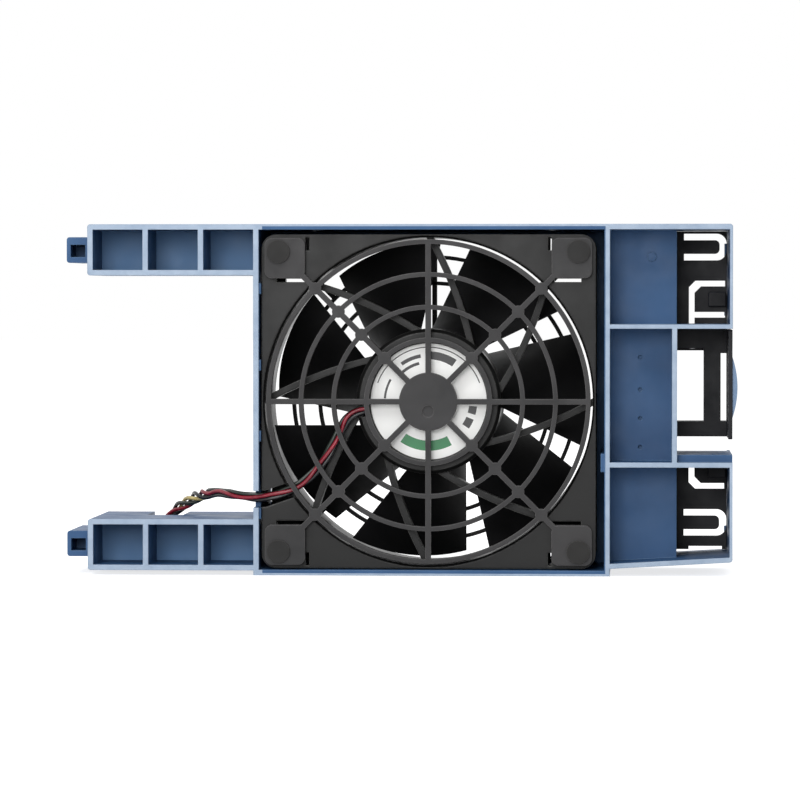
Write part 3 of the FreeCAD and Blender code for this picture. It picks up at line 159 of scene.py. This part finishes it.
class Nodes:
    """A short way to add and link the nodes of one material or of the world."""

    def __init__(self, holder, output_kind):
        holder.use_nodes = True
        self.tree = holder.node_tree
        self.tree.nodes.clear()
        self.output = self.tree.nodes.new(output_kind)

    @classmethod
    def of_material(cls, name):
        material = bpy.data.materials.new(name)
        nodes = cls(material, "ShaderNodeOutputMaterial")
        nodes.material = material
        return nodes

    def link(self, output, target):
        self.tree.links.new(output, target)

    def add(self, kind, links=None, **settings):
        node = self.tree.nodes.new(kind)
        for key, value in settings.items():
            setattr(node, key, value)
        for socket, value in (links or {}).items():
            target = node.inputs[socket]
            if isinstance(value, bpy.types.NodeSocket):
                self.link(value, target)
            else:
                target.default_value = value
        return node

    def place(self):
        return self.add("ShaderNodeTexCoord").outputs["Object"]

    def noise(self, scale, detail=3.0, roughness=0.5, place=None):
        links = {
            "Vector": place or self.place(),
            "Scale": scale,
            "Detail": detail,
            "Roughness": roughness,
        }
        return self.add("ShaderNodeTexNoise", links).outputs["Fac"]

    def ramp(self, value, stops):
        node = self.add("ShaderNodeValToRGB", {"Fac": value})
        points = node.color_ramp.elements
        while len(points) < len(stops):
            points.new(0.5)
        for point, (position, colour) in zip(points, stops):
            point.position = position
            point.color = colour
        return node.outputs["Color"]

    def mix(self, share, first, second):
        node = self.tree.nodes.new("ShaderNodeMix")
        node.data_type = "RGBA"
        for index, value in ((0, share), (6, first), (7, second)):
            if isinstance(value, bpy.types.NodeSocket):
                self.link(value, node.inputs[index])
            else:
                node.inputs[index].default_value = value
        return node.outputs[2]

    def math(self, operation, first, second=0.0):
        return self.add("ShaderNodeMath", {0: first, 1: second}, operation=operation).outputs[0]

    def band(self, value, low, high):
        """1 where the value lies between low and high."""
        above = self.math("GREATER_THAN", value, low)
        return self.math("MULTIPLY", above, self.math("LESS_THAN", value, high))

    def round_the_fan(self, place):
        """The distance from the fan's axis and the angle round it."""
        axis = (FAN_X, 0.0, FAN_Z)
        apart = self.add("ShaderNodeVectorMath", {0: place, 1: axis}, operation="SUBTRACT").outputs["Vector"]
        split = self.add("ShaderNodeSeparateXYZ", {"Vector": apart})
        across, up = split.outputs["X"], split.outputs["Z"]
        squares = self.math("ADD", self.math("MULTIPLY", across, across), self.math("MULTIPLY", up, up))
        return self.math("SQRT", squares), self.math("ARCTAN2", up, across)

    def painted_front_mask(self, place):
        """1 on the faces in the module's front plane that get a painted highlight, short of the thin right
        wall; 0 over the bay's rims, left as painted shade.
        """
        split = self.add("ShaderNodeSeparateXYZ", {"Vector": place})
        forward = self.math("LESS_THAN", split.outputs["Y"], FRONT_Y + FRONT_MARGIN)
        front_lit = self.math("MULTIPLY", forward, self.math("LESS_THAN", split.outputs["X"], RIGHT_WALL_X))
        over_bay = self.band(split.outputs["X"], *BAY_SIDES)
        bay_rim_in_shade = self.band(split.outputs["Z"], *BAY_RIM_SHADE_BAND)
        highlighted = self.math("SUBTRACT", 1.0, self.math("MULTIPLY", over_bay, bay_rim_in_shade))
        return self.math("MULTIPLY", front_lit, highlighted)

    def arm_floor(self, place):
        """1 on the thin floors of the arms' pockets, which get painted light."""
        split = self.add("ShaderNodeSeparateXYZ", {"Vector": place})
        low, high = ARM_FLOOR_Y - ARM_FLOOR_MARGIN, ARM_FLOOR_Y + ARM_FLOOR_MARGIN
        level = self.band(split.outputs["Y"], low, high)
        normal = self.add("ShaderNodeNewGeometry").outputs["Normal"]
        turned = self.add("ShaderNodeSeparateXYZ", {"Vector": normal}).outputs["Y"]
        facing = self.math("LESS_THAN", turned, ARM_FLOOR_FACING)
        arm = self.math("LESS_THAN", split.outputs["X"], ARM_END_X)
        return self.math("MULTIPLY", level, self.math("MULTIPLY", facing, arm))

    def bump(self, height, strength, distance, normal=None):
        links = {"Height": height, "Strength": strength, "Distance": distance}
        if normal is not None:
            links["Normal"] = normal
        return self.add("ShaderNodeBump", links).outputs["Normal"]

    def edges(self, radius):
        """Near 1 along outward and inward edges, 0 on flat faces."""
        rounded = self.add("ShaderNodeBevel", {"Radius": radius}, samples=6).outputs["Normal"]
        true_normal = self.add("ShaderNodeNewGeometry").outputs["Normal"]
        alike = self.add("ShaderNodeVectorMath", {0: rounded, 1: true_normal}, operation="DOT_PRODUCT")
        away = self.math("SUBTRACT", 1.0, alike.outputs["Value"])
        return self.math("MINIMUM", self.math("MULTIPLY", away, 5.0), 1.0), rounded

    def finish(self, **sockets):
        named = {key.replace("_", " "): value for key, value in sockets.items()}
        shader = self.add("ShaderNodeBsdfPrincipled", named)
        self.link(shader.outputs["BSDF"], self.output.inputs["Surface"])
        return self.material


def moulded_plastic(name, dark, base, light, roughness=(0.38, 0.55), edge_r=0.00035, sheen=0.5,
                    front_highlight_colours=None, painted_floor_light=None):
    """Moulded plastic: slow shade changes from the melt's flow, spark-eroded grain and lighter edges, partly
    edge wear and partly painted highlight.
    """
    n = Nodes.of_material(name)
    place = n.place()
    cloud = n.noise(38.0, 4.0, 0.55, place)
    shade = n.ramp(cloud, ((0.30, dark), (0.70, base)))
    edge, rounded = n.edges(edge_r)
    speck = n.noise(900.0, 2.0, 0.6, place)
    # edges are mixed towards the light colour: partly edge wear, partly a painted highlight
    edge_wear_and_highlight = n.math("MULTIPLY", edge, n.math("MULTIPLY", speck, 1.1))
    colour = n.mix(edge_wear_and_highlight, shade, light)
    if front_highlight_colours:
        # painted highlight: the front faces are mixed towards a paler, mottled blue for the light they catch
        pale_front_paint = n.ramp(n.noise(210.0, 4.0, 0.6, place), ((0.3, front_highlight_colours[0]), (0.7, front_highlight_colours[1])))
        colour = n.mix(n.painted_front_mask(place), colour, pale_front_paint)
        # painted light: the arm pockets' floors are mixed towards a paler blue
        colour = n.mix(n.math("MULTIPLY", n.arm_floor(place), ARM_FLOOR_SHARE), colour, painted_floor_light)
    grain = n.noise(5200.0, 2.0, 0.5, place)
    rough = n.ramp(n.noise(120.0, 3.0, 0.6, place), (
        (0.3, (roughness[0],) * 3 + (1.0,)),
        (0.7, (roughness[1],) * 3 + (1.0,)),
    ))
    normal = n.bump(grain, 0.10, 0.00005, rounded)
    return n.finish(Base_Color=colour, Roughness=rough, Normal=normal, Specular_IOR_Level=sheen)


def brushed_metal(name, dark, light, roughness=0.28):
    """Turned or ground metal with fine rings and slight tarnish."""
    n = Nodes.of_material(name)
    place = n.place()
    rings = n.add("ShaderNodeTexWave", {"Vector": place, "Scale": 900.0, "Distortion": 1.5, "Detail": 2.0},
                  wave_type="BANDS", bands_direction="Y").outputs["Fac"]
    shade = n.ramp(n.noise(160.0, 4.0, 0.6, place), ((0.3, dark), (0.7, light)))
    normal = n.bump(rings, 0.12, 0.00002)
    return n.finish(Base_Color=shade, Metallic=1.0, Roughness=roughness, Normal=normal)


def wire_skin(name, dark, base):
    """PVC insulation: glossy, slightly uneven in shade and thickness."""
    n = Nodes.of_material(name)
    place = n.place()
    shade = n.ramp(n.noise(420.0, 3.0, 0.6, place), ((0.35, dark), (0.65, base)))
    normal = n.bump(n.noise(2600.0, 2.0, 0.5, place), 0.25, 0.00004)
    return n.finish(Base_Color=shade, Roughness=0.34, Normal=normal)


def copper_winding(name):
    """Enamelled wire wound side by side."""
    n = Nodes.of_material(name)
    place = n.place()
    turns = n.add("ShaderNodeTexWave", {"Vector": place, "Scale": 520.0, "Distortion": 0.6, "Detail": 1.0},
                  wave_type="RINGS", rings_direction="Y").outputs["Fac"]
    shade = n.ramp(turns, ((0.0, srgb(96, 44, 22)), (0.6, srgb(190, 104, 56))))
    normal = n.bump(turns, 0.6, 0.0001)
    return n.finish(Base_Color=shade, Metallic=0.85, Roughness=0.32, Normal=normal)


def printed_label(name):
    """White film with a plain green band, plain dark bars and thin rules, printed round the motor's middle."""
    n = Nodes.of_material(name)
    place = n.place()
    radius, angle = n.round_the_fan(place)

    def arc(inner, outer, first, last):
        ring = n.band(radius, inner, outer)
        return n.math("MULTIPLY", ring, n.band(angle, math.radians(first), math.radians(last)))

    film = n.ramp(n.noise(90.0, 3.0, 0.5, place), ((0.3, srgb(244, 244, 242)), (0.7, srgb(252, 252, 250))))
    colour = n.mix(arc(*LABEL_GREEN), film, srgb(38, 122, 74))
    for bar in LABEL_BARS:
        colour = n.mix(arc(*bar), colour, srgb(34, 34, 36))
    normal = n.bump(n.noise(700.0, 2.0, 0.5, place), 0.08, 0.00005)
    return n.finish(Base_Color=colour, Roughness=0.42, Normal=normal)


def solder_mask(name):
    """Green board lacquer over raised copper tracks."""
    n = Nodes.of_material(name)
    place = n.place()
    bricks = n.add("ShaderNodeTexBrick", {"Vector": place, "Scale": 320.0, "Mortar Size": 0.03})
    tracks = bricks.outputs["Fac"]
    colour = n.mix(tracks, srgb(18, 84, 48), srgb(40, 120, 70))
    return n.finish(Base_Color=colour, Roughness=0.35, Normal=n.bump(tracks, 0.3, 0.00004))


# ---- materials ----
# each plastic's third colour lightens its edges: partly edge wear, partly a painted highlight
BLUE = moulded_plastic("carrier_blue", srgb(44, 77, 116), srgb(58, 94, 136), srgb(120, 150, 182),
                       # the next two colours are the painted highlight on the carrier's front faces
                       sheen=0.24, front_highlight_colours=(srgb(148, 166, 188), srgb(168, 184, 203)),
                       # the next colour is the painted light on the arm pockets' floors
                       painted_floor_light=srgb(108, 150, 196))
PAD_BLUE = moulded_plastic("pad_blue", srgb(96, 122, 154), srgb(112, 138, 168), srgb(190, 204, 220))
# near-black retainers and lever: their darkness is partly black plastic and partly painted shade for the deep
# right-hand cells
BLACK = moulded_plastic("retainer_black", srgb(10, 11, 16), srgb(17, 18, 25), srgb(48, 52, 62), sheen=0.2)
FAN_BLACK = moulded_plastic("fan_black", srgb(15, 15, 15), srgb(24, 24, 24), srgb(118, 118, 116),
                            roughness=(0.30, 0.44), edge_r=0.0006, sheen=0.2)
BLADE_BLACK = moulded_plastic("blade_black", srgb(12, 12, 13), srgb(20, 20, 21), srgb(60, 60, 62),
                              roughness=(0.52, 0.66), sheen=0.12)
GUARD_GREY = moulded_plastic("guard_grey", srgb(38, 38, 39), srgb(50, 49, 50), srgb(116, 114, 114),
                             roughness=(0.4, 0.58), edge_r=0.0005, sheen=0.25)
RIVET_DARK = moulded_plastic("rivet_dark", srgb(20, 20, 20), srgb(30, 29, 28), srgb(92, 90, 88),
                             roughness=(0.5, 0.65), sheen=0.25)
NYLON = moulded_plastic("natural_nylon", srgb(196, 190, 172), srgb(220, 214, 198), srgb(240, 236, 226))
MAGNET = moulded_plastic("bonded_ferrite", srgb(30, 30, 31), srgb(42, 42, 43), srgb(60, 60, 60),
                         roughness=(0.6, 0.8))
CHIPS = moulded_plastic("black_epoxy", srgb(18, 18, 20), srgb(28, 28, 30), srgb(60, 60, 62))
STEEL = brushed_metal("ground_steel", srgb(150, 150, 152), srgb(196, 196, 198))
LAMINATION = brushed_metal("core_steel", srgb(104, 104, 108), srgb(142, 142, 146), 0.42)
BRASS = brushed_metal("turned_brass", srgb(176, 142, 74), srgb(206, 172, 98))

CAD_MATERIALS = {
    "module_frame": BLUE,
    "finger_pad": PAD_BLUE,
    "upper_retainer": BLACK,
    "lower_retainer": BLACK,
    "release_lever": BLACK,
    "latch_pin": STEEL,
    "latch_spring": STEEL,
    "fan_housing": FAN_BLACK,
    "impeller": BLADE_BLACK,
    "finger_guard": GUARD_GREY,
    "guard_rivets": RIVET_DARK,
    "rear_isolators": RIVET_DARK,
    "motor_label": printed_label("printed_label"),
    "bearing_tube": BRASS,
    "front_bearing": STEEL,
    "rear_bearing": STEEL,
    "stator_core": LAMINATION,
    "front_insulator": NYLON,
    "rear_insulator": NYLON,
    "stator_coils": copper_winding("copper_winding"),
    "circuit_board": solder_mask("solder_mask"),
    "board_parts": CHIPS,
    "rotor_yoke": STEEL,
    "rotor_magnet": MAGNET,
    "rotor_shaft": STEEL,
    "shaft_insert": BRASS,
    "retaining_clip": STEEL,
    "preload_spring": STEEL,
    "connector_housing": NYLON,
    "connector_contacts": STEEL,
}


def dress_nodes():
    for name, material in CAD_MATERIALS.items():
        mesh = frame["nodes"][name].data
        mesh.materials.clear()
        mesh.materials.append(material)


# ---- the fan lead: four twisted wires ----
def route_points():
    """Even points along the lead's smooth line, read from its NURBS spline."""
    curve = bpy.data.curves.new("lead_route", "CURVE")
    curve.dimensions = "3D"
    spline = curve.splines.new("NURBS")
    spline.points.add(len(LEAD_ROUTE) - 1)
    for point, place in zip(spline.points, LEAD_ROUTE):
        point.co = (*place, 1.0)
    spline.order_u = 3
    spline.use_endpoint_u = True
    spline.resolution_u = 16
    holder = bpy.data.objects.new("lead_route", curve)
    bpy.context.collection.objects.link(holder)
    bpy.context.view_layer.update()
    mesh = bpy.data.meshes.new_from_object(holder)
    points = [vertex.co.copy() for vertex in mesh.vertices]
    bpy.data.objects.remove(holder)
    bpy.data.curves.remove(curve)
    bpy.data.meshes.remove(mesh)
    return points


def carried_frames(points):
    """For each point its distance along the line and two directions across it, carried without twist."""
    frames = []
    across = Vector((0.0, 1.0, 0.0))
    travelled = 0.0
    for index, point in enumerate(points):
        before, after = points[max(index - 1, 0)], points[min(index + 1, len(points) - 1)]
        along = (after - before).normalized()
        across = (across - along * across.dot(along)).normalized()
        if index:
            travelled += (point - points[index - 1]).length
        frames.append((travelled, across.copy(), along.cross(across)))
    return frames


def smooth_step(value, low, high):
    share = min(max((value - low) / (high - low), 0.0), 1.0)
    return share * share * (3.0 - 2.0 * share)


def wire_offset(index, share):
    """How far a wire lies from the bundle's middle: further where the wires are loose."""
    opening = smooth_step(share, LOOSE_START, LOOSE_START + LOOSE_FADE)
    closing = smooth_step(share, LOOSE_END - LOOSE_FADE, LOOSE_END)
    loose = opening * (1.0 - closing)
    wave = 0.6 + 0.4 * math.sin(9.0 * share + index * 2.1)
    return WIRE_OFFSET * (1.0 + (LOOSE_SPREAD - 1.0) * loose * wave)


def wire_angle(index, travelled, total):
    """Where a wire lies round the bundle's middle: a slight sway over the fan, then the twist."""
    turned = max(0.0, travelled - TWIST_FROM * total) / TWIST_PITCH
    calmed = smooth_step(travelled / total, TWIST_FROM, TWIST_FROM + SWAY_FADE)
    sway = SWAY * math.sin(2.0 * math.pi * travelled / SWAY_PITCH) * (1.0 - calmed)
    return math.radians(180.0 - 90.0 * index) + 2.0 * math.pi * turned + sway


def wire(index, points, frames, material):
    total = frames[-1][0]
    curve = bpy.data.curves.new("lead_wire_%d" % (index + 1), "CURVE")
    curve.dimensions = "3D"
    curve.bevel_depth = WIRE_R
    curve.bevel_resolution = 3
    curve.use_fill_caps = True
    spline = curve.splines.new("POLY")
    spline.points.add(len(points) - 1)
    plug_z = points[-1].z + (index - 1.5) * PLUG_PITCH
    for target, place, (travelled, across, up) in zip(spline.points, points, frames):
        share = travelled / total
        offset = wire_offset(index, share)
        angle = wire_angle(index, travelled, total)
        spot = place + across * (offset * math.cos(angle)) + up * (offset * math.sin(angle))
        ending = Vector((place.x, place.y, plug_z))
        spot = spot.lerp(ending, smooth_step(share, FAN_OUT, 1.0))
        target.co = (*spot, 1.0)
    holder = bpy.data.objects.new("lead_wire_%d" % (index + 1), curve)
    bpy.context.collection.objects.link(holder)
    curve.materials.append(material)
    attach(holder, "root")
    return holder


def fan_lead():
    points = route_points()
    frames = carried_frames(points)
    skins = (
        wire_skin("wire_red", srgb(112, 16, 34), srgb(150, 26, 48)),
        wire_skin("wire_black", srgb(14, 14, 16), srgb(26, 26, 30)),
        wire_skin("wire_cream", srgb(190, 168, 96), srgb(218, 200, 136)),
        wire_skin("wire_green_black", srgb(24, 30, 26), srgb(40, 48, 42)),
    )
    wires = [wire(index, points, frames, skin) for index, skin in enumerate(skins)]
    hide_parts("fan_lead")


# ---- rear guard ----
def swept_ring(mesh, radius, y0, y1):
    """One flat ring round the fan's axis, square in section."""
    inner, outer = radius - REAR_RING_W / 2, radius + REAR_RING_W / 2
    loops = []
    for step in range(REAR_RING_STEPS):
        turn = 2.0 * math.pi * step / REAR_RING_STEPS
        loops.append([
            mesh.verts.new((FAN_X + reach * math.cos(turn), y, FAN_Z + reach * math.sin(turn)))
            for reach, y in ((inner, y0), (outer, y0), (outer, y1), (inner, y1))
        ])
    for first, second in zip(loops, loops[1:] + loops[:1]):
        for corner in range(4):
            after = (corner + 1) % 4
            mesh.faces.new((first[corner], first[after], second[after], second[corner]))


def spoke(mesh, degrees, start, end, y0, y1):
    """One bar out from the fan's axis, square in section."""
    on_axis = Matrix.Translation((FAN_X, (y0 + y1) / 2, FAN_Z))
    turned = on_axis @ Matrix.Rotation(math.radians(degrees), 4, "Y")
    moved = turned @ Matrix.Translation(((start + end) / 2, 0.0, 0.0))
    size = Matrix.Diagonal((end - start, y1 - y0, REAR_SPOKE_W, 1.0))
    bmesh.ops.create_cube(mesh, size=1.0, matrix=moved @ size)


def rear_guard():
    """Black rings joined by four spokes, with four legs seated on the housing's rear face."""
    housing_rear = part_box("fan_housing")[1][1]
    y0, y1 = housing_rear, housing_rear + REAR_RING_T
    mesh = bmesh.new()
    for radius in REAR_RINGS:
        swept_ring(mesh, radius, y0, y1)
    for quarter in range(4):
        spoke(mesh, 90.0 * quarter, REAR_RINGS[0], REAR_RINGS[-1], y0, y1)
        spoke(mesh, 90.0 * quarter + 45.0, REAR_RINGS[-1], REAR_LEG_END, y0, y1)
    bmesh.ops.recalc_face_normals(mesh, faces=mesh.faces)
    data = bpy.data.meshes.new("rear_guard")
    mesh.to_mesh(data)
    mesh.free()
    data.materials.append(RIVET_DARK)
    holder = bpy.data.objects.new("rear_guard", data)
    bpy.context.collection.objects.link(holder)
    softened = holder.modifiers.new("softened", "BEVEL")
    softened.width = REAR_SOFTENED
    softened.segments = 2
    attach(holder, "root")


# ---- studio ----
def camera():
    data = bpy.data.cameras.new("camera")
    data.sensor_width = SENSOR
    holder = bpy.data.objects.new("camera", data)
    bpy.context.collection.objects.link(holder)
    low, high = cad_box
    holder.location = (CAMERA_X, low[1] - CAMERA_DISTANCE, CAMERA_HEIGHT)
    aim = Vector(((low[0] + high[0]) / 2, low[1], (low[2] + high[2]) / 2)) - holder.location
    holder.rotation_euler = aim.to_track_quat("-Z", "Y").to_euler()
    data.lens = PIXELS_PER_METRE * aim.length * SENSOR / PICTURE_PIXELS
    data.clip_start = 0.01
    data.clip_end = 20.0
    bpy.context.scene.camera = holder


def area_lamp(name, place, target, size, watts):
    data = bpy.data.lights.new(name, "AREA")
    data.shape = "RECTANGLE"
    data.size, data.size_y = size
    data.energy = watts
    holder = bpy.data.objects.new(name, data)
    bpy.context.collection.objects.link(holder)
    holder.location = place
    holder.rotation_euler = (Vector(target) - Vector(place)).to_track_quat("-Z", "Y").to_euler()


def white_ray_share(n):
    """1 for rays that show the background: camera, glossy and transmission rays."""
    path = n.add("ShaderNodeLightPath")
    seen = n.math("MAXIMUM", path.outputs["Is Camera Ray"], path.outputs["Is Glossy Ray"])
    return n.math("MAXIMUM", seen, path.outputs["Is Transmission Ray"])


def floor():
    n = Nodes.of_material("pale_floor")
    place = n.place()
    shade = n.ramp(n.noise(6.0, 2.0, 0.5, place), ((0.3, srgb(238, 238, 238)), (0.7, srgb(244, 244, 244))))
    diffuse = n.add("ShaderNodeBsdfDiffuse", {"Color": shade})
    glow = n.add("ShaderNodeEmission", {"Strength": n.math("MULTIPLY", white_ray_share(n), FLOOR_GLOW)})
    both = n.add("ShaderNodeAddShader")
    n.link(diffuse.outputs[0], both.inputs[0])
    n.link(glow.outputs[0], both.inputs[1])
    n.link(both.outputs[0], n.output.inputs["Surface"])
    mesh = bpy.data.meshes.new("studio_floor")
    corners = [(x * FLOOR_REACH, y * FLOOR_REACH, 0.0) for x, y in ((-1, -1), (1, -1), (1, 1), (-1, 1))]
    mesh.from_pydata(corners, [], [(0, 1, 2, 3)])
    mesh.materials.append(n.material)
    holder = bpy.data.objects.new("studio_floor", mesh)
    bpy.context.collection.objects.link(holder)
    holder.location.z = cad_box[0][2] - FLOOR_DROP


def world():
    """White where it is seen, weaker as light."""
    surroundings = bpy.data.worlds.new("studio")
    bpy.context.scene.world = surroundings
    n = Nodes(surroundings, "ShaderNodeOutputWorld")
    strength = n.math("ADD", n.math("MULTIPLY", white_ray_share(n), 1.0 - WORLD_FILL), WORLD_FILL)
    background = n.add("ShaderNodeBackground", {"Color": (1.0, 1.0, 1.0, 1.0), "Strength": strength})
    n.link(background.outputs[0], n.output.inputs["Surface"])


def studio():
    camera()
    floor()
    world()
    middle = ((cad_box[0][0] + cad_box[1][0]) / 2, 0.0, (cad_box[0][2] + cad_box[1][2]) / 2)
    for name, place, size, watts in LAMPS:
        area_lamp(name, place, middle, size, watts)
    bpy.context.scene.view_settings.view_transform = "Standard"


studio()
fan_lead()
rear_guard()
dress_nodes()
